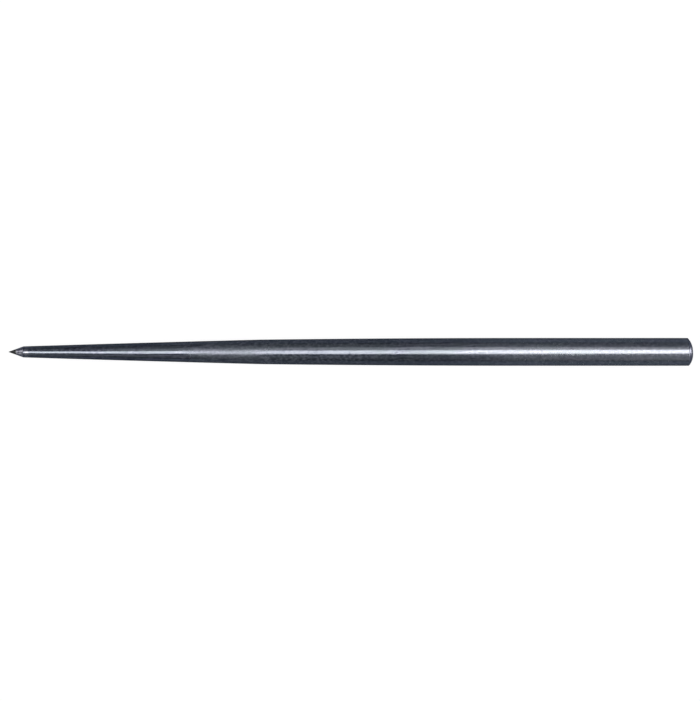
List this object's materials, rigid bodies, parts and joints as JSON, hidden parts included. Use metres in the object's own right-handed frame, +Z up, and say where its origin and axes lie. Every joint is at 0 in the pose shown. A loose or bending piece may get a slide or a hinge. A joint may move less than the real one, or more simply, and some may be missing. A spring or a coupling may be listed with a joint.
{
  "type": "center punch",
  "caption": "Slender round steel center punch with a long tapered nose, a brazed-in carbide point ground to a cone, and a crowned struck end.",
  "frame": {"origin": "on the centre line, in the middle of the cylindrical shank, where a collet or a hand holds the punch", "axes": "+X along the centre line, from the point towards the struck end; +Z up as the punch lies on a bench; +Y across"},
  "size_m": [0.1475, 0.006, 0.006],
  "materials": {
    "ground_steel": "hardened and ground, blue-grey, fine lines round the shank and along the taper",
    "carbide": "diamond-ground tungsten carbide, neutral dark grey, satin",
    "braze": "thin ground line of silver braze"
  },
  "bodies": {
    "root": {"punch_body": "ground_steel", "carbide_tip": "carbide", "braze_filler": "braze"}
  },
  "joints": []
}
